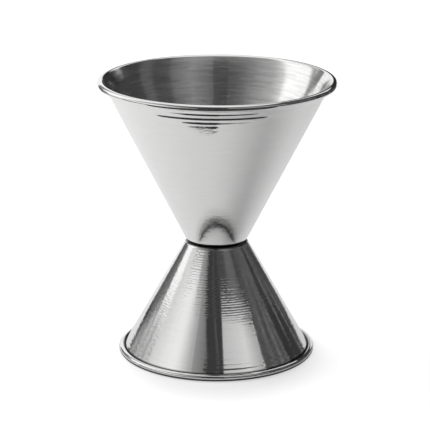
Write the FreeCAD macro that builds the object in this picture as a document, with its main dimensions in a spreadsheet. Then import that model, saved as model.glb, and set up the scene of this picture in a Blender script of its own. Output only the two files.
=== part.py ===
import FreeCAD
import Part
import math
import os

import Sketcher

# A double-ended bar jigger: two conical measuring cups of stainless sheet, welded base to base.
# The large cup opens upward and the small cup opens downward and is what the jigger stands on.
# Each cup is one spun piece: a flat base, a straight conical wall that flares a little at the mouth,
# and a hollow bead where the sheet is curled outward and back on itself.
# Frame: millimetres, +Z up, origin at the centre of the ring that the small cup's rim stands on.

DRIVING_SIZES = [
    # The sheet and the curled bead, the same on both cups.
    ("sheet_thickness", 0.50, "thickness of the stainless sheet"),
    ("bead_dia", 1.60, "outside diameter of the curled bead's section"),
    ("land_width", 0.40, "width of the flat polished on each bead's outermost ring"),
    ("curl_gap", 0.10, "gap left between the curl's free edge and the wall"),
    # The large cup, in its own frame: base at the bottom, mouth up.
    ("large_height", 41.22, "joint face to rim"),
    ("large_rim_dia", 59.30, "over the bead"),
    ("large_foot_dia", 13.00, "flat part of the base"),
    ("large_corner", 1.70, "outside radius between base and wall"),
    ("large_flare_radius", 33.00, "outside radius of the flare below the bead"),
    ("large_flare_turn", 8.0, "degrees that the flare turns the wall outward"),
    # The small cup, in its own frame: base at the bottom, mouth up.
    ("small_height", 29.10, "joint face to rim"),
    ("small_rim_dia", 49.56, "over the bead"),
    ("small_foot_dia", 13.80, "flat part of the base"),
    ("small_corner", 1.40, "outside radius between base and wall"),
    ("small_flare_radius", 14.00, "outside radius of the flare below the bead"),
    ("small_flare_turn", 5.0, "degrees that the flare turns the wall outward"),
    # The resistance welds between the two bases.
    ("weld_count", 3, "spot welds"),
    ("weld_circle_dia", 7.00, "circle through the welds' centres"),
    ("nugget_dia", 3.00, "fused nugget"),
    ("nugget_thickness", 0.60, "fused nugget, half of it in each base"),
    ("mark_dia", 3.60, "print of the electrode on a cup's floor"),
    ("mark_depth", 0.06, "print of the electrode on a cup's floor"),
]

doc = FreeCAD.newDocument("bar_jigger")


# ---------------------------------------------------------------- spreadsheet

def make_sheet():
    """The spreadsheet that holds every driving size, one alias a row."""
    sheet = doc.addObject("Spreadsheet::Sheet", "Sizes")
    for row, (alias, value, note) in enumerate(DRIVING_SIZES, start=1):
        sheet.set(f"A{row}", alias)
        sheet.set(f"B{row}", str(value))
        sheet.setAlias(f"B{row}", alias)
        sheet.set(f"C{row}", note)
    doc.recompute()
    return sheet


sizes = make_sheet()


def plane_sketch(body, name, role):
    """A new sketch attached to one of the body's own origin planes."""
    sketch = body.newObject("Sketcher::SketchObject", name)
    plane = next(item for item in body.Origin.OriginFeatures if item.Role == role)
    sketch.AttachmentSupport = [(plane, "")]
    sketch.MapMode = "FlatFace"
    return sketch


# A sketch's own origin is the start point of its horizontal axis.
ORIGIN = (-1, 1)
START, END, CENTRE = 1, 2, 3
FULL_TURN = 360


def bind(sketch, constraint, name, expression):
    """Adds a dimension to the sketch and binds it to the spreadsheet."""
    index = sketch.addConstraint(constraint)
    sketch.renameConstraint(index, name)
    sketch.setExpression(f"Constraints.{name}", expression)


# ---------------------------------------------------------------- spun cups

class CupProfile:
    """Where the corners of a cup's section lie, in (radius, height above the joint face)."""

    def __init__(self, cup):
        def size(name):
            return getattr(sizes, name)

        self.sheet = size("sheet_thickness")
        self.bead = size("bead_dia") / 2
        self.curl = self.bead - self.sheet
        self.corner = size(f"{cup}_corner")
        self.flare = size(f"{cup}_flare_radius")
        self.turn = math.radians(size(f"{cup}_flare_turn"))
        self.height = size(f"{cup}_height")
        self.half_land = size("land_width") / 2

        self.corner_centre = FreeCAD.Vector(size(f"{cup}_foot_dia") / 2, self.corner, 0)
        self.bead_centre = FreeCAD.Vector(
            size(f"{cup}_rim_dia") / 2 - self.bead,
            self.height - math.sqrt(self.bead**2 - self.half_land**2),
            0,
        )
        # The straight wall touches the corner's circle, and the flare's circle touches both the wall
        # and the bead's. offset is how far the bead's centre lies out of the wall's line.
        reach = self.bead_centre - self.corner_centre
        offset = self.corner + self.flare - (self.flare - self.curl) * math.cos(self.turn)
        self.half_angle = math.atan2(reach.x, reach.y) - math.asin(offset / reach.Length)
        self.mouth_angle = self.half_angle + self.turn
        self.flare_centre = self.bead_centre + self.out(self.mouth_angle) * (self.flare - self.curl)
        # The curl stops where its outer edge comes within the gap of the flared wall.
        gap = size("curl_gap")
        span = self.flare - self.curl
        cosine = ((self.flare - gap) ** 2 - span**2 - self.bead**2) / (2 * span * self.bead)
        self.curl_turn = 2 * math.pi - math.acos(cosine)

    @staticmethod
    def out(half_angle):
        """Square out of a wall that leans from the axis by this angle."""
        return FreeCAD.Vector(math.cos(half_angle), -math.sin(half_angle), 0)


def arc(centre, radius, start, end):
    """An anticlockwise arc between two directions in radians."""
    circle = Part.Circle(centre, FreeCAD.Vector(0, 0, 1), radius)
    return Part.ArcOfCircle(circle, start, end)


def cup_sketch(body, cup):
    """The closed section of the sheet, drawn round from the joint face to the bead and back."""
    shape = CupProfile(cup)
    sketch = plane_sketch(body, f"{cup}_section", "XZ_Plane")
    corner, flare, bead = shape.corner_centre, shape.flare_centre, shape.bead_centre
    wall = shape.out(shape.half_angle)
    wall_direction = math.pi - shape.half_angle
    mouth_direction = math.pi - shape.mouth_angle
    edge_direction = mouth_direction - shape.curl_turn
    land_half_turn = math.asin(shape.half_land / shape.bead)
    up = math.pi / 2
    land_inner = FreeCAD.Vector(bead.x - shape.half_land, shape.height, 0)
    land_outer = FreeCAD.Vector(bead.x + shape.half_land, shape.height, 0)
    edge = FreeCAD.Vector(math.cos(edge_direction), math.sin(edge_direction), 0)
    inner_corner = shape.corner - shape.sheet
    inner_flare = shape.flare + shape.sheet
    centre_of_base = FreeCAD.Vector(0, 0, 0)
    centre_of_floor = FreeCAD.Vector(0, shape.sheet, 0)
    outer_foot = FreeCAD.Vector(corner.x, 0, 0)
    inner_foot = FreeCAD.Vector(corner.x, shape.sheet, 0)

    def add(geometry):
        return sketch.addGeometry(geometry, False)

    # Outside of the sheet, from the axis outward.
    base_line = add(Part.LineSegment(centre_of_base, outer_foot))
    base_arc = add(arc(corner, shape.corner, -up, -shape.half_angle))
    wall_line = add(Part.LineSegment(corner + wall * shape.corner, flare - wall * shape.flare))
    flare_arc = add(arc(flare, shape.flare, mouth_direction, wall_direction))
    curl_arc = add(arc(bead, shape.curl, edge_direction, mouth_direction))
    edge_line = add(Part.LineSegment(bead + edge * shape.curl, bead + edge * shape.bead))
    # The bead's skin, which is the inside of the sheet turned outward, with its flat land.
    bead_arc = add(arc(bead, shape.bead, edge_direction, up - land_half_turn))
    land_line = add(Part.LineSegment(land_outer, land_inner))
    lip_arc = add(arc(bead, shape.bead, up + land_half_turn, mouth_direction))
    # Inside of the sheet, back to the axis.
    inner_flare_arc = add(arc(flare, inner_flare, mouth_direction, wall_direction))
    inner_line = add(Part.LineSegment(flare - wall * inner_flare, corner + wall * inner_corner))
    inner_arc = add(arc(corner, inner_corner, -up, -shape.half_angle))
    floor_line = add(Part.LineSegment(inner_foot, centre_of_floor))
    axis_line = add(Part.LineSegment(centre_of_floor, centre_of_base))

    smooth = [
        (base_line, END, base_arc, START),
        (base_arc, END, wall_line, START),
        (wall_line, END, flare_arc, END),
        (flare_arc, START, curl_arc, END),
        (lip_arc, END, inner_flare_arc, START),
        (inner_flare_arc, END, inner_line, START),
        (inner_line, END, inner_arc, END),
        (inner_arc, START, floor_line, START),
    ]
    meeting = [
        (curl_arc, START, edge_line, START),
        (edge_line, END, bead_arc, START),
        (bead_arc, END, land_line, START),
        (land_line, END, lip_arc, START),
        (floor_line, END, axis_line, START),
        (axis_line, END, base_line, START),
        (curl_arc, CENTRE, bead_arc, CENTRE),
        (curl_arc, CENTRE, lip_arc, CENTRE),
        (flare_arc, CENTRE, inner_flare_arc, CENTRE),
        (base_arc, CENTRE, inner_arc, CENTRE),
        (base_line, START, *ORIGIN),
    ]
    for ends in smooth:
        sketch.addConstraint(Sketcher.Constraint("Tangent", *ends))
    for ends in meeting:
        sketch.addConstraint(Sketcher.Constraint("Coincident", *ends))
    for level in (base_line, land_line, floor_line):
        sketch.addConstraint(Sketcher.Constraint("Horizontal", level))
    sketch.addConstraint(Sketcher.Constraint("Vertical", axis_line))
    sketch.addConstraint(Sketcher.Constraint("PointOnObject", bead_arc, CENTRE, edge_line))
    sketch.addConstraint(Sketcher.Constraint("Equal", bead_arc, lip_arc))

    # Each dimension: its name, the constraint's arguments, and what it is bound to.
    bead_radius = "(Sizes.bead_dia / 2)"
    span = f"(Sizes.{cup}_flare_radius - {bead_radius} + Sizes.sheet_thickness)"
    edge_reach = f"(Sizes.{cup}_flare_radius - Sizes.curl_gap)"
    edge_cosine = f"({edge_reach}^2 - {span}^2 - {bead_radius}^2) / (2 * {span} * {bead_radius})"
    dimensions = [
        (
            "height",
            ("DistanceY", *ORIGIN, land_line, START, shape.height),
            f"Sizes.{cup}_height",
        ),
        (
            "rim",
            ("DistanceX", *ORIGIN, bead_arc, CENTRE, bead.x),
            f"Sizes.{cup}_rim_dia / 2 - {bead_radius}",
        ),
        (
            "foot",
            ("DistanceX", base_line, START, base_line, END, corner.x),
            f"Sizes.{cup}_foot_dia / 2",
        ),
        ("land", ("Distance", land_line, 2 * shape.half_land), "Sizes.land_width"),
        ("corner", ("Radius", base_arc, shape.corner), f"Sizes.{cup}_corner"),
        (
            "inner_corner",
            ("Radius", inner_arc, inner_corner),
            f"Sizes.{cup}_corner - Sizes.sheet_thickness",
        ),
        ("flare", ("Radius", flare_arc, shape.flare), f"Sizes.{cup}_flare_radius"),
        ("flare_turn", ("Angle", flare_arc, shape.turn), f"Sizes.{cup}_flare_turn"),
        ("bead", ("Radius", bead_arc, shape.bead), bead_radius),
        ("curl", ("Radius", curl_arc, shape.curl), f"{bead_radius} - Sizes.sheet_thickness"),
        ("curl_turn", ("Angle", curl_arc, shape.curl_turn), f"360 deg - acos({edge_cosine})"),
    ]
    for name, arguments, expression in dimensions:
        bind(sketch, Sketcher.Constraint(*arguments), name, expression)
    return sketch


def spin_cup(cup):
    """A cup's body: its section turned through a full circle about its own axis."""
    body = doc.addObject("PartDesign::Body", f"{cup}_cup")
    body.Label = f"{cup}_cup"
    sketch = cup_sketch(body, cup)
    doc.recompute()
    if sketch.solve() != 0 or not sketch.FullyConstrained:
        raise RuntimeError(f"{sketch.Name} isn't fully constrained")
    spin = body.newObject("PartDesign::Revolution", f"{cup}_spin")
    spin.Profile = sketch
    spin.ReferenceAxis = (sketch, ["V_Axis"])
    spin.Angle = FULL_TURN
    doc.recompute()
    return body


# ---------------------------------------------------------------- welds

def weld_circle(body, name, diameter):
    """One circle of a weld, on the body's X axis, as far from the cup's axis as the weld is."""
    sketch = plane_sketch(body, name, "XY_Plane")
    radius = getattr(sizes, diameter) / 2
    middle = FreeCAD.Vector(sizes.weld_circle_dia / 2, 0, 0)
    circle = sketch.addGeometry(Part.Circle(middle, FreeCAD.Vector(0, 0, 1), radius), False)
    on_axis = Sketcher.Constraint("PointOnObject", circle, CENTRE, ORIGIN[0])
    reach = Sketcher.Constraint("DistanceX", *ORIGIN, circle, CENTRE, middle.x)
    girth = Sketcher.Constraint("Radius", circle, radius)
    sketch.addConstraint(on_axis)
    bind(sketch, reach, "reach", "Sizes.weld_circle_dia / 2")
    bind(sketch, girth, "radius", f"Sizes.{diameter} / 2")
    return sketch


def repeat_round(body, feature):
    """Repeats one weld's feature round the cup's axis, once for each weld."""
    pattern = body.newObject("PartDesign::PolarPattern", f"{feature.Name}_ring")
    pattern.Originals = [feature]
    pattern.Axis = (feature.Profile[0], ["N_Axis"])
    pattern.Angle = FULL_TURN
    pattern.setExpression("Occurrences", "Sizes.weld_count")
    body.Tip = pattern
    doc.recompute()


def cut_round(body, name, diameter, depth, depth_expression, into_body, level_expression=None):
    """Cuts a shallow round pocket for each weld, and checks how much metal went."""
    before = body.Shape.Volume
    sketch = weld_circle(body, f"{name}_circle", diameter)
    if level_expression:
        sketch.setExpression("AttachmentOffset.Base.z", level_expression)
    pocket = body.newObject("PartDesign::Pocket", name)
    pocket.Profile = sketch
    pocket.Type = "Length"
    pocket.setExpression("Length", depth_expression)
    pocket.Reversed = into_body
    doc.recompute()
    repeat_round(body, pocket)
    expected = sizes.weld_count * math.pi * (getattr(sizes, diameter) / 2) ** 2 * depth
    removed = before - body.Shape.Volume
    if not math.isclose(removed, expected, rel_tol=1e-3):
        raise RuntimeError(f"{name} took {removed:.4f} mm3 away, not {expected:.4f}")


def make_cup(cup):
    """A spun cup with the nuggets' seats in its joint face and the electrode prints on its floor."""
    body = spin_cup(cup)
    cut_round(
        body,
        f"{cup}_nugget_seat",
        "nugget_dia",
        sizes.nugget_thickness / 2,
        "Sizes.nugget_thickness / 2",
        into_body=True,
    )
    cut_round(
        body,
        f"{cup}_electrode_mark",
        "mark_dia",
        sizes.mark_depth,
        "Sizes.mark_depth",
        into_body=False,
        level_expression="Sizes.sheet_thickness",
    )
    return body


def make_nuggets():
    """The metal fused at each spot weld, as round slugs centred on the joint face."""
    body = doc.addObject("PartDesign::Body", "weld_nuggets")
    body.Label = "weld_nuggets"
    body.AllowCompound = True
    sketch = weld_circle(body, "nugget_circle", "nugget_dia")
    slug = body.newObject("PartDesign::Pad", "nugget")
    slug.Profile = sketch
    slug.SideType = "Symmetric"
    slug.setExpression("Length", "Sizes.nugget_thickness")
    doc.recompute()
    repeat_round(body, slug)
    return body


# ---------------------------------------------------------------- assembly

def place(body, axis_turn):
    """Sets a body's own joint face on the plane where the two cups meet."""
    body.Placement = FreeCAD.Placement(
        FreeCAD.Vector(0, 0, sizes.small_height),
        FreeCAD.Rotation(FreeCAD.Vector(1, 0, 0), axis_turn),
    )
    body.setExpression("Placement.Base.z", "Sizes.small_height")


large_cup = make_cup("large")
place(large_cup, 0)

small_cup = make_cup("small")
place(small_cup, 180)

weld_nuggets = make_nuggets()
place(weld_nuggets, 0)

doc.recompute()


# ---------------------------------------------------------------- checks and files

for item in doc.Objects:
    if "Invalid" in item.State or "Error" in item.State:
        raise RuntimeError(f"{item.Name} failed: {item.State}")

os.makedirs("parts", exist_ok=True)
for body in (large_cup, small_cup, weld_nuggets):
    if body.Shape.isNull() or not body.Shape.isValid():
        raise RuntimeError(f"{body.Label} has no valid shape")
    body.Shape.exportStep(f"parts/{body.Label}.step")
    print(f"{body.Label}: {len(body.Shape.Solids)} solid(s), {body.Shape.Volume:.2f} mm3")
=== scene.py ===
import math

import bpy
from mathutils import Euler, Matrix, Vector


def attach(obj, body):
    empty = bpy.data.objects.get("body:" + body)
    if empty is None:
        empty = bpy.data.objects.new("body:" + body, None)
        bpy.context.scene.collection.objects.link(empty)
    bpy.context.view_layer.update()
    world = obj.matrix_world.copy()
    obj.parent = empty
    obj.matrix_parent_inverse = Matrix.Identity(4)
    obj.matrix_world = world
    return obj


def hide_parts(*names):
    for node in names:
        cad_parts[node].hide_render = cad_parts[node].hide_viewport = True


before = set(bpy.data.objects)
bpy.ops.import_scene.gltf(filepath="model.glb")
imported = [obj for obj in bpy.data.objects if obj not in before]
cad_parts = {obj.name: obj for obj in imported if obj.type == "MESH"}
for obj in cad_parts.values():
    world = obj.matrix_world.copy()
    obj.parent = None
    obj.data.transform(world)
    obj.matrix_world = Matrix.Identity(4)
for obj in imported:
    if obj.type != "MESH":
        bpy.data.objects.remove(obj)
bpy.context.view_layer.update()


# ================================================================ small cup
# The smaller measure, which the jigger stands on: one disc of stainless sheet, spun over a cone and
# turned on a lathe, which leaves fine rings on its outside. Its mouth flares a little and is curled
# outward into a hollow bead, and its base is welded to the large cup's.

MM = 0.001
DEGREE = math.pi / 180

SHEET = 0.50 * MM
BEAD_RADIUS = 0.80 * MM
LAND_WIDTH = 0.40 * MM
CURL_GAP = 0.10 * MM
JOINT_HEIGHT = 29.10 * MM

# How far painted shade reaches out of the groove under the curl.
CREVICE_SHADE_REACH = 0.60 * MM

# How far apart the points of a section lie: on tight bends, across the flats, up the inside and on
# the inside of the flare. Two points closer than SAME_POINT are one point.
FINE_STEP = 0.11 * MM
FLAT_STEP = 0.22 * MM
INSIDE_STEP = 0.40 * MM
FLARE_STEP = 0.20 * MM
SAME_POINT = 1e-7

# Which part of the sheet a face belongs to.
FLOOR, INSIDE, BEAD, OUTSIDE, BASE = range(5)

# What each row of a section says besides its place.
SECTION_VALUES = ("part", "ring", "wave", "chatter", "along", "below", "crevice_shade")


def arc(centre, radius, start, end, step):
    """Points on an arc between two directions in radians, both ends among them."""
    count = max(2, math.ceil(abs(end - start) * radius / step))
    turns = (start + (end - start) * i / count for i in range(count + 1))
    return [centre + radius * Vector((math.cos(turn), math.sin(turn))) for turn in turns]


def line(start, end, step):
    """Points on a straight run, both ends among them."""
    count = max(1, math.ceil((end - start).length / step))
    return [start.lerp(end, i / count) for i in range(count + 1)]


def near(distance, reach):
    """1 at a place, falling to 0 this far from it."""
    return max(0.0, 1 - distance / reach)


def risen(level, start, full):
    """0 below the start, rising to 1."""
    return max(0.0, min(1.0, (level - start) / (full - start)))


def cup_section(
    height, rim, foot, corner, flare, turn, wall_step, neck_shade_reach, rings, waves, chatters
):
    """The sheet's section from the floor's centre up the inside, over the bead, down the outside and
    in to the base's centre, as rows of (point, values). A point is the radius and the height above the
    joint; values are what SECTION_VALUES names. neck_shade_reach is how far shadow reaches out of the joint;
    rings, waves and chatters give the strength of each mark on the outside by height above it."""
    curl = BEAD_RADIUS - SHEET
    corner_centre = Vector((foot / 2, corner))
    bead_drop = math.sqrt(BEAD_RADIUS**2 - (LAND_WIDTH / 2) ** 2)
    bead = Vector((rim / 2 - BEAD_RADIUS, height - bead_drop))
    reach = bead - corner_centre
    offset = corner + flare - (flare - curl) * math.cos(turn)
    lean = math.atan2(reach.x, reach.y) - math.asin(offset / reach.length)
    mouth = lean + turn
    wall = Vector((math.cos(lean), -math.sin(lean)))
    flare_centre = bead + Vector((math.cos(mouth), -math.sin(mouth))) * (flare - curl)

    # The curl ends where its free edge comes within the gap of the flared wall.
    span = flare - curl
    cosine = ((flare - CURL_GAP) ** 2 - span**2 - BEAD_RADIUS**2) / (2 * span * BEAD_RADIUS)
    mouth_way = math.pi - mouth
    wall_way = math.pi - lean
    edge_way = mouth_way - (2 * math.pi - math.acos(cosine))
    land_turn = math.asin(LAND_WIDTH / 2 / BEAD_RADIUS)
    up = math.pi / 2

    foot_edge = Vector((foot / 2, 0))
    rise = Vector((0, SHEET))
    inner_corner = corner - SHEET
    inner_flare = flare + SHEET
    inside_foot = corner_centre + wall * inner_corner
    inside_mouth = flare_centre - wall * inner_flare
    parts = [
        (FLOOR, line(rise, foot_edge + rise, FLAT_STEP)),
        (INSIDE, arc(corner_centre, inner_corner, -up, -lean, FINE_STEP)),
        (INSIDE, line(inside_foot, inside_mouth, INSIDE_STEP)),
        (INSIDE, arc(flare_centre, inner_flare, wall_way, mouth_way, FLARE_STEP)),
        (BEAD, arc(bead, BEAD_RADIUS, mouth_way, up + land_turn, FINE_STEP)),
        (BEAD, arc(bead, BEAD_RADIUS, up - land_turn, edge_way, FINE_STEP)),
        (BEAD, arc(bead, curl, edge_way, mouth_way, FINE_STEP)),
        (OUTSIDE, arc(flare_centre, flare, mouth_way, wall_way, FINE_STEP)),
        (OUTSIDE, line(flare_centre - wall * flare, corner_centre + wall * corner, wall_step)),
        (OUTSIDE, arc(corner_centre, corner, -lean, -up, FINE_STEP)),
        (BASE, line(foot_edge, Vector((0, 0)), FLAT_STEP)),
    ]
    groove = bead + BEAD_RADIUS * Vector((math.cos(edge_way), math.sin(edge_way)))
    rows = []
    along = 0.0
    top = 0.0
    for part, points in parts:
        for point in points:
            step = (point - rows[-1][0]).length if rows else 0.0
            if rows and step < SAME_POINT:
                rows.pop()
            along += step
            level = point.y
            marks = (0, 0, 0)
            crevice_shade = 0.0
            # Painted shade: the colour darkens by the groove under the curl and, outside, at the joint.
            if part in (OUTSIDE, BEAD):
                crevice_shade = near((point - groove).length, CREVICE_SHADE_REACH)
            if part == OUTSIDE:
                crevice_shade = max(crevice_shade, near(level, neck_shade_reach))
                marks = (rings(level), waves(level), chatters(level))
            else:
                top = along
            rows.append((point, (part, *marks, along, along - top, crevice_shade)))
    return rows


def section_object(name, rows):
    """The section as a line of vertices in the XZ plane that carries what the tree reads."""
    data = bpy.data.meshes.new(name)
    places = [(point.x, 0, point.y) for point, _ in rows]
    data.from_pydata(places, [(i, i + 1) for i in range(len(rows) - 1)], [])
    for i, value in enumerate(SECTION_VALUES):
        kind = "INT" if value == "part" else "FLOAT"
        attribute = data.attributes.new(value, kind, "POINT")
        attribute.data.foreach_set("value", [values[i] for _, values in rows])
    section = bpy.data.objects.new(name, data)
    bpy.context.scene.collection.objects.link(section)
    return section


def node(tree, kind, sources=(), **settings):
    """Adds a node. sources are links or values for its inputs, in order or by name; a node given as a
    source means its first output."""
    made = tree.nodes.new(kind)
    for name, value in settings.items():
        setattr(made, name, value)
    live = [socket for socket in made.inputs if socket.enabled]
    pairs = sources.items() if isinstance(sources, dict) else enumerate(sources)
    for key, source in pairs:
        into = live[key] if isinstance(key, int) else next(s for s in live if s.name == key)
        if isinstance(source, bpy.types.Node):
            source = next(s for s in source.outputs if s.enabled)
        if isinstance(source, bpy.types.NodeSocket):
            tree.links.new(source, into)
        elif source is not None:
            into.default_value = source
    return made


def maths(tree, operation, *sources):
    """Adds a sum, product or other piece of arithmetic."""
    return node(tree, "ShaderNodeMath", sources, operation=operation)


CUP_INPUTS = [
    ("Section", "NodeSocketGeometry"),
    ("Steps round", "NodeSocketInt"),
    ("Ring pitch", "NodeSocketFloat"),
    ("Ring height", "NodeSocketFloat"),
    ("Wave start", "NodeSocketFloat"),
    ("Wave length", "NodeSocketFloat"),
    ("Wave height", "NodeSocketFloat"),
    ("Weld count", "NodeSocketInt"),
    ("Weld circle radius", "NodeSocketFloat"),
    ("Seat radius", "NodeSocketFloat"),
    ("Seat depth", "NodeSocketFloat"),
    ("Print radius", "NodeSocketFloat"),
    ("Print depth", "NodeSocketFloat"),
    ("Turn about X", "NodeSocketFloat"),
    ("Joint height", "NodeSocketFloat"),
    ("Outside", "NodeSocketMaterial"),
    ("Bead", "NodeSocketMaterial"),
    ("Inside", "NodeSocketMaterial"),
    ("Floor", "NodeSocketMaterial"),
]


# How the rings wander: how much the pattern changes round the cup, the coarseness of the slow wander
# and of the roughness on top, and how far the wander swings the rings and the waves, in radians.
WANDER_ROUND = 0.35
WANDER_SCALE = 0.45
ROUGH_SCALE = 1.4
RING_SWING = 9
WAVE_SWING = 5
RIPPLE_SHARE = 0.6

# Points this close are joined, edges this sharp stay crisp, and a print is flat out to this share.
JOIN_REACH = 1e-6
CRISP_EDGE = 35 * DEGREE
PRINT_FLAT = 0.8


def spun_cup_tree():
    """Turns a section through a full circle, raises the lathe's rings on the outside, prints the
    electrodes on the floor and puts the cup at the joint."""
    tree = bpy.data.node_groups.new("spun_cup", "GeometryNodeTree")
    tree.is_modifier = True
    for name, kind in CUP_INPUTS:
        tree.interface.new_socket(name=name, in_out="INPUT", socket_type=kind)
    tree.interface.new_socket(name="Cup", in_out="OUTPUT", socket_type="NodeSocketGeometry")
    given = tree.nodes.new("NodeGroupInput").outputs

    def named(attribute, data_type):
        return node(tree, "GeometryNodeInputNamedAttribute", [attribute], data_type=data_type)

    def from_section(value, index, data_type):
        sources = {"Geometry": given["Section"], "Value": value, "Index": index}
        return node(tree, "GeometryNodeSampleIndex", sources, data_type=data_type)

    def store(geometry, name, value, data_type, domain):
        sources = {"Geometry": geometry, "Name": name, "Value": value}
        settings = {"data_type": data_type, "domain": domain}
        return node(tree, "GeometryNodeStoreNamedAttribute", sources, **settings)

    # A flat grid, one row of faces for each step of the section and one column for each step round.
    size = node(tree, "GeometryNodeAttributeDomainSize", [given["Section"]], component="MESH")
    rows = maths(tree, "SUBTRACT", size.outputs["Point Count"], 1)
    grid = node(
        tree,
        "GeometryNodeMeshGrid",
        {
            "Size X": rows,
            "Size Y": given["Steps round"],
            "Vertices X": size.outputs["Point Count"],
            "Vertices Y": maths(tree, "ADD", given["Steps round"], 1),
        },
    )
    place = node(tree, "ShaderNodeSeparateXYZ", [node(tree, "GeometryNodeInputPosition")])
    row = maths(tree, "ADD", place.outputs["X"], maths(tree, "MULTIPLY", rows, 0.5))
    half_round = maths(tree, "MULTIPLY", given["Steps round"], 0.5)
    column = maths(tree, "ADD", place.outputs["Y"], half_round)
    share = maths(tree, "DIVIDE", column, given["Steps round"])
    near_row = maths(tree, "ROUND", row)
    face_row = maths(tree, "FLOOR", row)

    part = from_section(named("part", "INT"), face_row, "INT")
    cup = store(grid.outputs["Mesh"], "part", part, "INT", "FACE")
    for name in SECTION_VALUES[1:]:
        value = from_section(named(name, "FLOAT"), near_row, "FLOAT")
        cup = store(cup, name, value, "FLOAT", "POINT")
    unrolled = node(tree, "ShaderNodeCombineXYZ", [share, named("along", "FLOAT")])
    cup = store(cup, "UVMap", unrolled, "FLOAT2", "CORNER")

    # The grid is rolled up round the axis, and its seam and its two poles are closed.
    point = from_section(node(tree, "GeometryNodeInputPosition"), near_row, "FLOAT_VECTOR")
    point = node(tree, "ShaderNodeSeparateXYZ", [point])
    turn = maths(tree, "MULTIPLY", share, 2 * math.pi)
    across = maths(tree, "MULTIPLY", point.outputs["X"], maths(tree, "COSINE", turn))
    deep = maths(tree, "MULTIPLY", point.outputs["X"], maths(tree, "SINE", turn))
    rolled = node(tree, "ShaderNodeCombineXYZ", [across, deep, point.outputs["Z"]])
    cup = node(tree, "GeometryNodeSetPosition", {"Geometry": cup, "Position": rolled})
    cup = node(tree, "GeometryNodeMergeByDistance", {"Geometry": cup, "Distance": JOIN_REACH})

    # The lathe's rings: a ripple that repeats up the wall and wanders a little round it.
    spot = node(tree, "GeometryNodeInputPosition")
    spot_axes = node(tree, "ShaderNodeSeparateXYZ", [spot])
    level = maths(tree, "DIVIDE", spot_axes.outputs["Z"], given["Ring pitch"])
    flat_spot = node(tree, "ShaderNodeVectorMath", [spot, (1, 1, 0)], operation="MULTIPLY")
    heading = node(tree, "ShaderNodeVectorMath", [flat_spot], operation="NORMALIZE")
    lift = node(tree, "ShaderNodeCombineXYZ", [0, 0, level])
    slow = node(
        tree,
        "ShaderNodeVectorMath",
        [heading, (WANDER_ROUND, WANDER_ROUND, 0), lift],
        operation="MULTIPLY_ADD",
    )
    wander = node(tree, "ShaderNodeTexNoise", {"Vector": slow, "Scale": WANDER_SCALE, "Detail": 2})
    swing = maths(tree, "MULTIPLY", wander, RING_SWING)
    phase = maths(tree, "MULTIPLY_ADD", level, 2 * math.pi, swing)
    ripple = maths(tree, "SINE", phase)
    rough = node(tree, "ShaderNodeTexNoise", {"Vector": slow, "Scale": ROUGH_SCALE, "Detail": 3})
    rough = maths(tree, "MULTIPLY_ADD", rough, 2.0, -1.0)
    ripple = maths(tree, "MULTIPLY_ADD", ripple, RIPPLE_SHARE, rough)
    tall = maths(tree, "MULTIPLY", given["Ring height"], named("ring", "FLOAT"))
    amount = maths(tree, "MULTIPLY", ripple, tall)
    groove = maths(tree, "MULTIPLY", ripple, named("ring", "FLOAT"))
    cup = store(cup, "groove", groove, "FLOAT", "POINT")

    # Slow waves from the roller that turned the bead, in the last few millimetres below it.
    below = maths(tree, "SUBTRACT", named("below", "FLOAT"), given["Wave start"])
    crest = maths(tree, "DIVIDE", below, given["Wave length"])
    drift = maths(tree, "MULTIPLY", wander, WAVE_SWING)
    swell = maths(tree, "SINE", maths(tree, "MULTIPLY_ADD", crest, 2 * math.pi, drift))
    high = maths(tree, "MULTIPLY", given["Wave height"], named("wave", "FLOAT"))
    amount = maths(tree, "MULTIPLY_ADD", swell, high, amount)
    scaled = node(
        tree,
        "ShaderNodeVectorMath",
        {"Vector": node(tree, "GeometryNodeInputNormal"), "Scale": amount},
        operation="SCALE",
    )
    cup = node(tree, "GeometryNodeSetPosition", {"Geometry": cup, "Offset": scaled})

    # The welds lie on one circle: seats for the nuggets in the joint face, prints on the floor.
    welds = node(
        tree,
        "GeometryNodeMeshCircle",
        {"Vertices": given["Weld count"], "Radius": given["Weld circle radius"]},
    )
    nearest = node(
        tree,
        "GeometryNodeProximity",
        {"Geometry": welds, "Sample Position": flat_spot},
        target_element="POINTS",
    )
    off_weld = nearest.outputs["Distance"]
    seat = maths(tree, "LESS_THAN", off_weld, given["Seat radius"])
    seat_rise = node(
        tree, "ShaderNodeCombineXYZ", [0, 0, maths(tree, "MULTIPLY", seat, given["Seat depth"])]
    )
    printed = node(
        tree,
        "ShaderNodeMapRange",
        {
            "Value": off_weld,
            "From Min": given["Print radius"],
            "From Max": maths(tree, "MULTIPLY", given["Print radius"], PRINT_FLAT),
        },
        interpolation_type="SMOOTHSTEP",
    )
    print_drop = maths(tree, "MULTIPLY", printed, maths(tree, "MULTIPLY", given["Print depth"], -1))
    print_fall = node(tree, "ShaderNodeCombineXYZ", [0, 0, print_drop])

    def on_part(number):
        sources = {"A": named("part", "INT"), "B": number}
        return node(tree, "FunctionNodeCompare", sources, data_type="INT", operation="EQUAL")

    cup = store(cup, "weld_print", printed, "FLOAT", "POINT")
    for number, shift in ((BASE, seat_rise), (FLOOR, print_fall)):
        sources = {"Geometry": cup, "Selection": on_part(number), "Offset": shift}
        cup = node(tree, "GeometryNodeSetPosition", sources)

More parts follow.
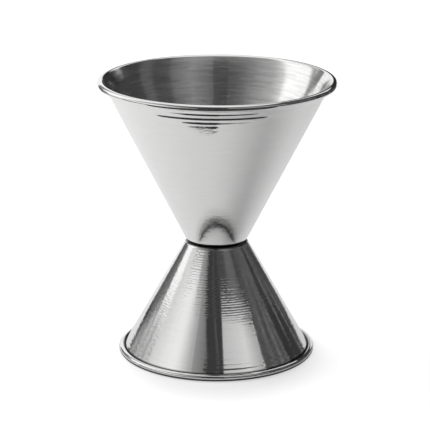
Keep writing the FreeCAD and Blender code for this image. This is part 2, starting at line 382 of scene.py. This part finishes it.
    # Smooth, but for the edges of the land, the free edge of the curl and the seats.
    cup = node(tree, "GeometryNodeSetShadeSmooth", {"Geometry": cup, "Shade Smooth": True})
    bend = node(tree, "GeometryNodeInputMeshEdgeAngle").outputs["Unsigned Angle"]
    crisp = maths(tree, "GREATER_THAN", bend, CRISP_EDGE)
    cup = node(
        tree,
        "GeometryNodeSetShadeSmooth",
        {"Geometry": cup, "Selection": crisp, "Shade Smooth": False},
        domain="EDGE",
    )
    tilt = node(tree, "ShaderNodeCombineXYZ", [given["Turn about X"], 0, 0])
    stand = node(tree, "ShaderNodeCombineXYZ", [0, 0, given["Joint height"]])
    sources = {"Geometry": cup, "Rotation": tilt, "Translation": stand}
    cup = node(tree, "GeometryNodeTransform", sources)
    cup = node(tree, "GeometryNodeRealizeInstances", [cup])
    cup = node(tree, "GeometryNodeSetMaterial", {"Geometry": cup, "Material": given["Outside"]})
    for number, name in ((BEAD, "Bead"), (INSIDE, "Inside"), (FLOOR, "Floor")):
        sources = {"Geometry": cup, "Selection": on_part(number), "Material": given[name]}
        cup = node(tree, "GeometryNodeSetMaterial", sources)
    node(tree, "NodeGroupOutput", [cup])
    return tree


def spin_cup(name, rows, tree, sizes):
    """A finished cup: its section with the tree run on it, kept as a plain mesh."""
    section = section_object(name + "_section", rows)
    spinning = section.modifiers.new("spin", "NODES")
    spinning.node_group = tree
    sockets = {s.name: s.identifier for s in tree.interface.items_tree if s.in_out == "INPUT"}
    for socket, value in sizes.items():
        spinning[sockets[socket]] = value
    depsgraph = bpy.context.evaluated_depsgraph_get()
    data = bpy.data.meshes.new_from_object(section.evaluated_get(depsgraph), depsgraph=depsgraph)
    data.name = name
    section.modifiers.remove(spinning)
    bpy.data.objects.remove(section)
    cup = bpy.data.objects.new(name, data)
    bpy.context.scene.collection.objects.link(cup)
    return cup


# How fast the painted shade darkens the metal towards a crevice, and the darkest it gets.
CREVICE_SHADE_DARKNESS = 1.5
CREVICE_SHADE_FLOOR = 0.04

# Each pattern of marks: its scale outward, its scale round the axis, and its detail.
STREAK_MARKS = (3.0, 4.0, 4)
GLOSS_MARKS = (4.0, 4.0, 3)
FINE_RINGS = (5.0, 5.0, 2)
SHORT_MARKS = (3.5, 16.0, 2)
NOISE_SPREAD = {"From Min": 0.3, "From Max": 0.7}

# Where the two sides begin and are full, as a share of the radius to the right or left.
SIDES_FROM = 0.45
SIDES_FULL = 0.62


def steel(
    name,
    colour,
    roughness,
    grain,
    anisotropy,
    ring_bump,
    streaks,
    groove=0.0,
    chatter=0.0,
    sides=0.0,
    prints=0.0,
):
    """Stainless steel worked on a lathe, so that every mark runs round the axis.
    roughness and grain: the mean and its spread; ring_bump: height of the finest rings;
    streaks: how far the streaks darken or lighten the metal; groove: how much rougher the bottoms of
    the turned rings are; chatter: height of the short marks where the tool shook; sides: how much
    more it shook on the two sides that faced away from the rest; prints: how much duller the
    electrodes' prints are."""
    material = bpy.data.materials.new(name)
    material.use_nodes = True
    tree = material.node_tree
    shader = tree.nodes["Principled BSDF"]
    shader.inputs["Metallic"].default_value = 1.0
    shader.inputs["Anisotropic"].default_value = anisotropy
    shader.inputs["Anisotropic Rotation"].default_value = 0.25
    tangent = node(tree, "ShaderNodeTangent", direction_type="RADIAL", axis="Z")
    tree.links.new(tangent.outputs[0], shader.inputs["Tangent"])

    # Round the axis the pattern hardly changes, and across the rings it changes fast.
    place = node(tree, "ShaderNodeTexCoord").outputs["Object"]
    flat_place = node(tree, "ShaderNodeVectorMath", [place, (1, 1, 0)], operation="MULTIPLY")
    heading = node(tree, "ShaderNodeVectorMath", [flat_place], operation="NORMALIZE")
    out = node(tree, "ShaderNodeVectorMath", [flat_place], operation="LENGTH").outputs["Value"]

    def ring_noise(per_mm, round_share, detail):
        across = node(tree, "ShaderNodeCombineXYZ", [0, 0, maths(tree, "MULTIPLY", out, per_mm / MM)])
        share = (round_share, round_share, 0)
        where = node(
            tree, "ShaderNodeVectorMath", [heading, share, across], operation="MULTIPLY_ADD"
        )
        sources = {"Vector": where, "Scale": 1.0, "Detail": detail, "Roughness": 0.6}
        return node(tree, "ShaderNodeTexNoise", sources)

    streak = ring_noise(*STREAK_MARKS)
    sources = {"Value": streak, **NOISE_SPREAD, "To Min": 1 - streaks, "To Max": 1 + streaks}
    shade = node(tree, "ShaderNodeMapRange", sources)
    # Painted shade: the metal's colour is darkened in the crevices, where shadow falls.
    crevice_shade = node(tree, "ShaderNodeAttribute", attribute_name="crevice_shade").outputs["Fac"]
    unshaded = maths(tree, "MULTIPLY_ADD", crevice_shade, -CREVICE_SHADE_DARKNESS, 1)
    shade = maths(tree, "MULTIPLY", shade, maths(tree, "MAXIMUM", unshaded, CREVICE_SHADE_FLOOR))
    if prints:
        printed = node(tree, "ShaderNodeAttribute", attribute_name="weld_print").outputs["Fac"]
        shade = maths(tree, "MULTIPLY", shade, maths(tree, "MULTIPLY_ADD", printed, -prints, 1))
    sources = {"Vector": colour, "Scale": shade}
    tint = node(tree, "ShaderNodeVectorMath", sources, operation="SCALE")
    tree.links.new(tint.outputs[0], shader.inputs["Base Color"])
    sources = {
        "Value": ring_noise(*GLOSS_MARKS),
        **NOISE_SPREAD,
        "To Min": roughness - grain,
        "To Max": roughness + grain,
    }
    gloss = node(tree, "ShaderNodeMapRange", sources)
    height = maths(tree, "MULTIPLY", ring_noise(*FINE_RINGS), ring_bump)
    if groove or chatter:
        grooves = node(tree, "ShaderNodeAttribute", attribute_name="groove").outputs["Fac"]
        shaken = node(tree, "ShaderNodeAttribute", attribute_name="chatter").outputs["Fac"]
        gloss = maths(tree, "MULTIPLY_ADD", maths(tree, "MAXIMUM", grooves, 0), groove, gloss)
        if sides:
            heading_x = node(tree, "ShaderNodeSeparateXYZ", [heading]).outputs["X"]
            sources = {
                "Value": maths(tree, "ABSOLUTE", heading_x),
                "From Min": SIDES_FROM,
                "From Max": SIDES_FULL,
                "To Max": sides,
            }
            shaken = maths(tree, "ADD", shaken, node(tree, "ShaderNodeMapRange", sources))
        marks = maths(tree, "MULTIPLY", ring_noise(*SHORT_MARKS), chatter)
        height = maths(tree, "MULTIPLY_ADD", marks, shaken, height)
    tree.links.new(gloss.outputs[0], shader.inputs["Roughness"])
    bump = node(tree, "ShaderNodeBump", {"Strength": 1.0, "Distance": 1.0, "Height": height})
    tree.links.new(bump.outputs[0], shader.inputs["Normal"])
    return material


STEEL_COLOUR = (0.79, 0.79, 0.785)
spun_cup = spun_cup_tree()
turned_outside = steel(
    "turned_outside",
    STEEL_COLOUR,
    roughness=0.06,
    grain=0.02,
    anisotropy=0.0,
    ring_bump=0.0006 * MM,
    streaks=0.02,
    groove=0.10,
    chatter=0.032 * MM,
    sides=0.9,
)
polished_bead = steel(
    "polished_bead",
    STEEL_COLOUR,
    roughness=0.05,
    grain=0.02,
    anisotropy=0.3,
    ring_bump=0.0004 * MM,
    streaks=0.02,
)
satin_inside = steel(
    "satin_inside",
    STEEL_COLOUR,
    roughness=0.14,
    grain=0.03,
    anisotropy=1.0,
    ring_bump=0.0020 * MM,
    streaks=0.16,
)
satin_floor = steel(
    "satin_floor",
    STEEL_COLOUR,
    roughness=0.30,
    grain=0.05,
    anisotropy=0.6,
    ring_bump=0.0015 * MM,
    streaks=0.06,
    prints=0.30,
)
SMALL_HALF_WAY = 15.5 * MM


def small_rings(level):
    """The lathe tool's rings are strong from the base to half way, then fade to the flare."""
    if level < SMALL_HALF_WAY:
        return 1.0
    if level < 23 * MM:
        return 0.25
    return 0.6 if level < 26 * MM else 0.2


def small_waves(level):
    """The roller left a shallow wave or two in the flare."""
    return risen(level, 25 * MM, 27 * MM)


def small_chatters(level):
    """The tool shook all the way down, a little less past half way."""
    return 0.25 if level < SMALL_HALF_WAY else 0.10


# The three welds, as the tree's inputs name them. The seats are a little wider than the nuggets.
WELDS = {
    "Weld count": 3,
    "Weld circle radius": 3.50 * MM,
    "Seat radius": 1.63 * MM,
    "Seat depth": 0.30 * MM,
    "Print radius": 1.80 * MM,
    "Print depth": 0.06 * MM,
}
small_rows = cup_section(
    height=JOINT_HEIGHT,
    rim=49.56 * MM,
    foot=13.80 * MM,
    corner=1.40 * MM,
    flare=14.00 * MM,
    turn=5 * DEGREE,
    wall_step=0.10 * MM,
    neck_shade_reach=0.50 * MM,
    rings=small_rings,
    waves=small_waves,
    chatters=small_chatters,
)
small_cup = spin_cup(
    "small_cup_spun",
    small_rows,
    spun_cup,
    {
        "Steps round": 180,
        "Ring pitch": 0.55 * MM,
        "Ring height": 0.0036 * MM,
        "Wave start": 0.0 * MM,
        "Wave length": 1.3 * MM,
        "Wave height": 0.006 * MM,
        **WELDS,
        "Turn about X": math.pi,
        "Joint height": JOINT_HEIGHT,
        "Outside": turned_outside,
        "Bead": polished_bead,
        "Inside": satin_inside,
        "Floor": satin_floor,
    },
)
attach(small_cup, "root")
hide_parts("small_cup")


# ================================================================ weld nuggets
# Three resistance welds hold the cups base to base. Each is a lens of the two sheets' own steel,
# melted and set again, so it has a coarse cast grain instead of rings.

WELD_DARK = (0.36, 0.34, 0.32, 1)
WELD_LIGHT = (0.60, 0.59, 0.57, 1)

weld_steel = bpy.data.materials.new("weld_steel")
weld_steel.use_nodes = True
tree = weld_steel.node_tree
shader = tree.nodes["Principled BSDF"]
shader.inputs["Metallic"].default_value = 1.0
place = node(tree, "ShaderNodeTexCoord").outputs["Object"]
grains = node(tree, "ShaderNodeTexVoronoi", {"Vector": place, "Scale": 4000})
mottle = node(tree, "ShaderNodeTexNoise", {"Vector": place, "Scale": 900, "Detail": 4})
ramp = node(tree, "ShaderNodeValToRGB", [mottle])
ramp.color_ramp.elements[0].color = WELD_DARK
ramp.color_ramp.elements[1].color = WELD_LIGHT
tree.links.new(ramp.outputs["Color"], shader.inputs["Base Color"])
sources = {"Value": mottle, **NOISE_SPREAD, "To Min": 0.4, "To Max": 0.6}
tree.links.new(node(tree, "ShaderNodeMapRange", sources).outputs[0], shader.inputs["Roughness"])
sources = {"Strength": 1.0, "Distance": 0.02 * MM, "Height": grains.outputs["Distance"]}
tree.links.new(node(tree, "ShaderNodeBump", sources).outputs[0], shader.inputs["Normal"])
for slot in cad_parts["weld_nuggets"].material_slots:
    slot.material = weld_steel


# ================================================================ large cup
# The larger measure, opening upward: the same sheet, spun on a narrower cone. Its outside is buffed
# almost bright, its inside keeps the satin of the abrasive pad that was run round it.


def large_rings(level):
    """Only faint rings are left under the buffing."""
    return 0.35


def large_chatters(level):
    """The buffing missed the narrow neck and a band below the roller's waves."""
    if level < 10 * MM:
        return 1.0
    return 0.1 + 1.8 * near(abs(level - 33.5 * MM), 3.5 * MM)


def large_waves(level):
    """The roller's waves fade below the bead. The first is deeper than the rest, and the second more."""
    first = near(abs(level - 38.7 * MM), 0.8 * MM)
    second = near(abs(level - 37.4 * MM), 1.0 * MM)
    return (0.24 + 1.05 * second + 0.40 * first) * risen(level, 34.5 * MM, 36 * MM)


large_rows = cup_section(
    height=41.22 * MM,
    rim=59.30 * MM,
    foot=13.00 * MM,
    corner=1.70 * MM,
    flare=33.00 * MM,
    turn=8 * DEGREE,
    wall_step=0.25 * MM,
    neck_shade_reach=0.20 * MM,
    rings=large_rings,
    waves=large_waves,
    chatters=large_chatters,
)
buffed_outside = steel(
    "buffed_outside",
    STEEL_COLOUR,
    roughness=0.06,
    grain=0.02,
    anisotropy=0.0,
    ring_bump=0.0004 * MM,
    streaks=0.02,
    chatter=0.008 * MM,
)
large_cup = spin_cup(
    "large_cup_spun",
    large_rows,
    spun_cup,
    {
        "Steps round": 192,
        "Ring pitch": 1.6 * MM,
        "Ring height": 0.0020 * MM,
        "Wave start": 0.45 * MM,
        "Wave length": 1.30 * MM,
        "Wave height": 0.045 * MM,
        **WELDS,
        "Turn about X": 0.0,
        "Joint height": JOINT_HEIGHT,
        "Outside": buffed_outside,
        "Bead": polished_bead,
        "Inside": satin_inside,
        "Floor": satin_floor,
    },
)
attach(large_cup, "root")
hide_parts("large_cup")


# ================================================================ floor
# A sheet of white paper. The camera sees it white, with a painted soft grey shade round the jigger's
# foot that adds to the lamp's own. Reflections see a painted contact shadow on it close to the foot.

FLOOR_REACH = 4.0
WHITE = (1, 1, 1, 1)
PAPER_GREY = (0.5, 0.5, 0.5, 1)

# Painted shadow that reflections see: the dark line at the foot and the half shade beyond it, by
# distance out.
CONTACT_LINE = {"From Min": 25.2 * MM, "From Max": 26.1 * MM, "To Min": 0.15}
HALF_SHADE = {"From Min": 26 * MM, "From Max": 29 * MM, "To Min": 0.72, "To Max": 0.95}

# Painted shade that the camera sees: narrower from side to side, and lying a little to the front.
SHADE_SHAPE = (1.3, 1, 1)
SHADE_SHIFT = (0, 6 * MM, 0)
SOFT_SHADE = {"From Min": 20 * MM, "From Max": 42 * MM, "To Min": 0.47, "To Max": 0.76}


def stage_mesh(name, points, faces):
    """A mesh of the stage, which is not part of the jigger."""
    data = bpy.data.meshes.new(name)
    data.from_pydata(points, [], faces)
    stage = bpy.data.objects.new(name, data)
    bpy.context.scene.collection.objects.link(stage)
    return stage


def bare_tree(owner):
    """The empty node tree of a material or world."""
    owner.use_nodes = True
    owner.node_tree.nodes.clear()
    return owner.node_tree


floor_corners = [(-FLOOR_REACH, -FLOOR_REACH, 0), (FLOOR_REACH, -FLOOR_REACH, 0)]
floor_corners += [(FLOOR_REACH, FLOOR_REACH, 0), (-FLOOR_REACH, FLOOR_REACH, 0)]
floor = stage_mesh("floor", floor_corners, [(0, 1, 2, 3)])
paper = bpy.data.materials.new("paper")
tree = bare_tree(paper)
path = node(tree, "ShaderNodeLightPath")
place = node(tree, "ShaderNodeTexCoord").outputs["Object"]
out = node(tree, "ShaderNodeVectorMath", [place], operation="LENGTH").outputs["Value"]
# Painted contact shadow in the paper's colour, which only reflections see.
sources = {"Value": out, **CONTACT_LINE}
contact_shadow = node(tree, "ShaderNodeMapRange", sources, interpolation_type="SMOOTHSTEP")
painted_shadow_tone = node(tree, "ShaderNodeMapRange", {"Value": out, **HALF_SHADE})
painted_shadow_tone = maths(tree, "MULTIPLY", contact_shadow, painted_shadow_tone)
painted_shadow_tone = node(tree, "ShaderNodeCombineXYZ", [painted_shadow_tone, painted_shadow_tone, painted_shadow_tone])
lit = node(tree, "ShaderNodeBsdfDiffuse", {"Color": painted_shadow_tone})
faint = node(tree, "ShaderNodeBsdfDiffuse", {"Color": PAPER_GREY})
# Painted shade: the glow the camera sees is dimmed round the foot.
sources = [place, SHADE_SHAPE, SHADE_SHIFT]
shaded = node(tree, "ShaderNodeVectorMath", sources, operation="MULTIPLY_ADD")
shaded = node(tree, "ShaderNodeVectorMath", [shaded], operation="LENGTH").outputs["Value"]
sources = {"Value": shaded, **SOFT_SHADE}
painted_shade_glow = node(tree, "ShaderNodeMapRange", sources, interpolation_type="SMOOTHSTEP")
glow = node(tree, "ShaderNodeEmission", {"Color": WHITE, "Strength": painted_shade_glow})
seen = node(tree, "ShaderNodeAddShader", [faint, glow])
mixed = node(tree, "ShaderNodeMixShader", [path.outputs["Is Camera Ray"], lit, seen])
node(tree, "ShaderNodeOutputMaterial", [mixed])
floor.data.materials.append(paper)


# ================================================================ tent
# A ring round the jigger glows with painted brightness that stands in for white paper, grey and bright
# cards, softboxes and black flags. Only reflections show it: it lights nothing, and the camera doesn't
# see it.

TENT_RADIUS = 200 * MM
TENT_HEIGHT = 560 * MM
TENT_STEPS = 96
TENT_WHITE = 0.85

# Heights on the tent are counted in mm from a tilted line, which is lower at the back.
LINE_TILT = 0.4
LINE_HEIGHT = 135
LOW, HIGH = -999, 999
LEVEL_SOFT = 3

# Each card: from and to in degrees round from the front, bottom and top in mm over the tilted line,
# brightness at its two ends, how soft its side edges are in degrees, and how many degrees they lean
# for each mm up. A later card lies over an earlier one.
CARDS = [
    ("rear_left_wall", -200, -145, LOW, HIGH, 1.05, 1.05, 3, 0),
    ("rear_left_flag", -145, -128, LOW, 5, 0.12, 0.12, 3, 0),
    ("left_shade", -142, -120, -50, 5, 0.12, 0.24, 3, 0.15),
    ("left_shade_low", -141, -108, LOW, -50, 0.18, 0.48, 4, 0.15),
    ("left_wall", -100, -66, LOW, 5, 0.70, 1.00, 6, 0),
    ("left_wall_front", -66, -52, LOW, 5, 1.02, 1.00, 6, 0),
    ("left_fade", -52, -33, LOW, 5, 0.96, 0.42, 4, 0),
    ("left_fade_end", -33, -10, LOW, 5, 0.36, 0.14, 3, 0),
    ("left_fade_mid", -46, -28, -37, -23, 0.42, 0.22, 4, 0),
    ("left_fade_high", -80, -28, -23, 5, 0.62, 0.20, 6, 0),
    ("left_softbox", -120, -98, -41, 5, 1.20, 1.15, 3, 0.15),
    ("left_softbox_low", -114, -103, -50, -41, 0.60, 0.90, 3, 0.15),
    ("low_left_line", -107, -102, -75, -60, 0.38, 0.45, 2, 0.15),
    ("right_black", -10, 148, LOW, 5, 0.075, 0.055, 1, 0),
    ("right_glow", 19, 45, -47, 5, 0.14, 0.14, 8, 0.3),
    ("front_flag", -38, -8, -75, 5, 0.05, 0.05, 1, 0.36),
    ("right_card", 10, 46, -80, -49, 0.60, 0.80, 2, 0),
    ("right_card_end", 44, 64, -80, -49, 0.78, 0.42, 3, 0),
    ("right_line_near", 71, 73, LOW, 5, 0.15, 0.15, 1, 0.1),
    ("right_line", 82, 85, LOW, 5, 0.15, 0.15, 1, 0.1),
    ("right_line_beside", 91, 93, LOW, 5, 0.15, 0.15, 1, 0.1),
    ("right_gap", 94, 106, LOW, 5, 0.03, 0.03, 1, 0.1),
    ("right_line_far", 107, 110, LOW, 5, 0.15, 0.15, 1, 0.1),
    ("right_line_last", 121, 123, LOW, 5, 0.15, 0.15, 1, 0.1),
    ("front_flag_low", -17, 8, LOW, -75, 0.05, 0.05, 1, 0),
    ("front_thread", -20, -17, -75, -10, 0.10, 0.10, 1, 0.3),
    ("top_base", -140, 150, 5, 300, 0.35, 0.35, 4, 0),
    ("top_left_flag", -139, -126, 5, 300, 0.22, 0.30, 3, 0.2),
    ("top_softbox", -131, -93, 5, 300, 1.25, 1.25, 4, 0),
    ("top_left_wall", -93, -78, 5, 300, 0.72, 0.42, 5, 0),
    ("top_left_wall_front", -78, -45, 5, 300, 0.42, 0.17, 3, 0),
    ("top_left_fade", -45, -17, 5, 300, 0.17, 0.08, 4, 0),
    ("top_front_flag", -17, 6, 5, 300, 0.065, 0.065, 1, 0),
    ("top_front_card", 6, 36, 5, 300, 0.13, 0.25, 2, 0),
    ("top_right_card", 36, 64, 5, 300, 0.26, 0.15, 4, 0),
    ("top_right_black", 64, 153, 5, 300, 0.085, 0.03, 4, 0),
    ("top_back_black", 151, 174, 14, 300, 0.03, 0.03, 3, 0),
    ("top_right_softbox", 137, 158, 80, 300, 1.05, 1.05, 3, 0),
    ("top_right_glow", 90, 106, 5, 300, 0.12, 0.12, 4, 0),
    ("overhead", -200, 200, 300, HIGH, 1.00, 1.00, 4, 0),
]

# Where painted glints break up the cards' glow: from and to, bottom and top; then how the glints spread.
GLINT_PATCHES = [(62, 148, LOW, 5), (-141, -106, LOW, -50)]
GLINT_SOFT = 4
GLINT_ROUND = 0.20
GLINT_SCALE = 0.45
GLINT_RANGE = {"From Min": 0.45, "From Max": 0.58, "To Min": 0.25, "To Max": 2.8}


def only_reflected(stage):
    """Hides a thing from all but reflections."""
    stage.visible_camera = False
    stage.visible_diffuse = False
    stage.visible_transmission = False
    stage.visible_shadow = False
    stage.visible_volume_scatter = False


tent_ring = []
for i in range(TENT_STEPS):
    turn = 2 * math.pi * i / TENT_STEPS
    tent_ring.append((TENT_RADIUS * math.cos(turn), TENT_RADIUS * math.sin(turn)))
tent_points = [(x, y, z) for z in (0, TENT_HEIGHT) for x, y in tent_ring]
tent_faces = []
for i in range(TENT_STEPS):
    beside = (i + 1) % TENT_STEPS
    tent_faces.append((i, beside, TENT_STEPS + beside, TENT_STEPS + i))
tent = stage_mesh("tent", tent_points, tent_faces)
only_reflected(tent)
painted_cards = bpy.data.materials.new("painted_cards")
tree = bare_tree(painted_cards)
place = node(tree, "ShaderNodeTexCoord").outputs["Object"]
axes = node(tree, "ShaderNodeSeparateXYZ", [place]).outputs
round_way = maths(tree, "ARCTAN2", axes["X"], maths(tree, "MULTIPLY", axes["Y"], -1))
round_way = maths(tree, "DEGREES", round_way)
level = maths(tree, "MULTIPLY_ADD", axes["Y"], LINE_TILT, axes["Z"])
level = maths(tree, "MULTIPLY_ADD", level, 1 / MM, -LINE_HEIGHT)
bright = TENT_WHITE


def between(value, start, end, soft):
    """1 between start and end, with edges this soft."""
    edges = []
    for edge in (start, end):
        sources = {"Value": value, "From Min": edge - soft / 2, "From Max": edge + soft / 2}
        edges.append(node(tree, "ShaderNodeMapRange", sources, interpolation_type="SMOOTHSTEP"))
    return maths(tree, "SUBTRACT", *edges)


for name, start, end, bottom, top, first, last, soft, lean in CARDS:
    leant = maths(tree, "MULTIPLY_ADD", level, lean, round_way)
    sources = {"Value": leant, "From Min": start, "From Max": end, "To Min": first, "To Max": last}
    across = node(tree, "ShaderNodeMapRange", sources)
    within_sides = between(leant, start, end, soft)
    there = maths(tree, "MULTIPLY", within_sides, between(level, bottom, top, LEVEL_SOFT))
    bright = node(tree, "ShaderNodeMix", {"Factor": there, "A": bright, "B": across})

# Painted glints: a noise makes the glow brighter and darker in patches.
turned = node(tree, "ShaderNodeCombineXYZ", [maths(tree, "MULTIPLY", round_way, GLINT_ROUND), level])
glint_noise = node(tree, "ShaderNodeTexNoise", {"Vector": turned, "Scale": GLINT_SCALE, "Detail": 2})
glint = node(tree, "ShaderNodeMapRange", {"Value": glint_noise, **GLINT_RANGE})
for start, end, bottom, top in GLINT_PATCHES:
    within_sides = between(round_way, start, end, GLINT_SOFT)
    there = maths(tree, "MULTIPLY", within_sides, between(level, bottom, top, LEVEL_SOFT))
    gain = node(tree, "ShaderNodeMix", {"Factor": there, "A": 1.0, "B": glint})
    bright = maths(tree, "MULTIPLY", bright, gain)
# The cards' painted brightness is given out as glow.
glow = node(tree, "ShaderNodeEmission", {"Strength": bright})
node(tree, "ShaderNodeOutputMaterial", [glow])
tent.data.materials.append(painted_cards)


# ================================================================ cloth
# A dark cloth on the paper in front of the jigger and a dark strip round the foot of the tent glow
# faintly with painted darkness. Only reflections show them, as painted dark lines under the large bead
# and along both beads.

CLOTH_OUTSIDE = 198 * MM
CLOTH_RISE = 0.3 * MM
STRIP_REACH = 199 * MM
STRIP_HEIGHT = 45 * MM
STRIP_ENDS = (-95, 125)
STRIP_STEPS = 44
DARK_NOISE_SCALE = 300
DARK_GLOW_RANGE = {"To Min": 0.03, "To Max": 0.06}

# The cloth's near edge, a blunt V: degrees round from the front, and how far out in mm.
CLOTH_EDGE = [
    (-68, 115),
    (-64, 80),
    (-54, 70),
    (-44, 65),
    (-36, 57),
    (-28, 54),
    (-16, 52),
    (-1, 51),
    (4, 56),
    (22, 59),
    (44, 65),
    (52, 72),
    (56, 115),
]


def polar(turn, reach, rise):
    """A point by degrees round from the front, distance out and height."""
    return (reach * math.sin(turn * DEGREE), -reach * math.cos(turn * DEGREE), rise)


cloth_points = []
cloth_faces = []
for turn, reach in CLOTH_EDGE:
    cloth_points.append(polar(turn, reach * MM, CLOTH_RISE))
    cloth_points.append(polar(turn, CLOTH_OUTSIDE, CLOTH_RISE))
for i in range(0, len(cloth_points) - 2, 2):
    cloth_faces.append((i, i + 1, i + 3, i + 2))
strip_start = len(cloth_points)
for i in range(STRIP_STEPS + 1):
    turn = STRIP_ENDS[0] + (STRIP_ENDS[1] - STRIP_ENDS[0]) * i / STRIP_STEPS
    cloth_points.append(polar(turn, STRIP_REACH, CLOTH_RISE))
    cloth_points.append(polar(turn, STRIP_REACH, STRIP_HEIGHT))
for i in range(strip_start, len(cloth_points) - 2, 2):
    cloth_faces.append((i, i + 1, i + 3, i + 2))
cloth = stage_mesh("cloth", cloth_points, cloth_faces)
only_reflected(cloth)
painted_dark_cloth = bpy.data.materials.new("painted_dark_cloth")
tree = bare_tree(painted_dark_cloth)
place = node(tree, "ShaderNodeTexCoord").outputs["Object"]
dark_noise = node(tree, "ShaderNodeTexNoise", {"Vector": place, "Scale": DARK_NOISE_SCALE, "Detail": 2})
dark = node(tree, "ShaderNodeMapRange", {"Value": dark_noise, **DARK_GLOW_RANGE})
# The cloth gives out a faint painted dark glow instead of being lit.
glow = node(tree, "ShaderNodeEmission", {"Strength": dark})
node(tree, "ShaderNodeOutputMaterial", [glow])
cloth.data.materials.append(painted_dark_cloth)


# ================================================================ light
# One large soft lamp stands behind the jigger on its left. The white room fills in round it: it is
# full white to the camera and in reflections, and dimmer as a light.

LAMP_SIZE = 0.26
LAMP_POWER = 0.73
LAMP_REACH = 0.40
LAMP_WAY = -113 * DEGREE
LAMP_RISE = 50 * DEGREE
ROOM_FILL = 0.52

lamp_data = bpy.data.lights.new("key", "AREA")
lamp_data.shape = "DISK"
lamp_data.size = LAMP_SIZE
lamp_data.energy = LAMP_POWER
lamp = bpy.data.objects.new("key", lamp_data)
bpy.context.scene.collection.objects.link(lamp)
lamp_way = Vector(
    (
        math.sin(LAMP_WAY) * math.cos(LAMP_RISE),
        -math.cos(LAMP_WAY) * math.cos(LAMP_RISE),
        math.sin(LAMP_RISE),
    )
)
lamp.location = LAMP_REACH * lamp_way
lamp.rotation_euler = (-lamp.location).to_track_quat("-Z", "Y").to_euler()
lamp.visible_glossy = False
lamp.visible_camera = False

room = bpy.data.worlds.new("room")
bpy.context.scene.world = room
tree = bare_tree(room)
path = node(tree, "ShaderNodeLightPath").outputs
sees = maths(tree, "MAXIMUM", path["Is Camera Ray"], path["Is Glossy Ray"])
sees = maths(tree, "MAXIMUM", sees, path["Is Transmission Ray"])
strength = node(tree, "ShaderNodeMapRange", {"Value": sees, "To Min": ROOM_FILL, "To Max": 1.0})
back = node(tree, "ShaderNodeBackground", {"Color": WHITE, "Strength": strength})
node(tree, "ShaderNodeOutputWorld", [back])


# ================================================================ camera
# A long lens a little above the rim, looking down at the middle of the jigger. It is turned a very
# little about its own axis.

LENS = 168.7
CAMERA_RISE = 16.45 * DEGREE
CAMERA_ROLL = 0.17 * DEGREE
CAMERA_REACH = 0.5062
TARGET = Vector((-0.42, 0, 35.30)) * MM

camera_data = bpy.data.cameras.new("camera")
camera_data.lens = LENS
camera_data.sensor_width = 36
camera_data.clip_start = 0.05
camera_data.clip_end = 20
camera = bpy.data.objects.new("camera", camera_data)
bpy.context.scene.collection.objects.link(camera)
back = Vector((0, -math.cos(CAMERA_RISE), math.sin(CAMERA_RISE)))
camera.location = TARGET + back * CAMERA_REACH
aim = (-back).to_track_quat("-Z", "Y") @ Euler((0, 0, CAMERA_ROLL)).to_quaternion()
camera.rotation_euler = aim.to_euler()
bpy.context.scene.camera = camera

bpy.context.scene.view_settings.view_transform = "Standard"
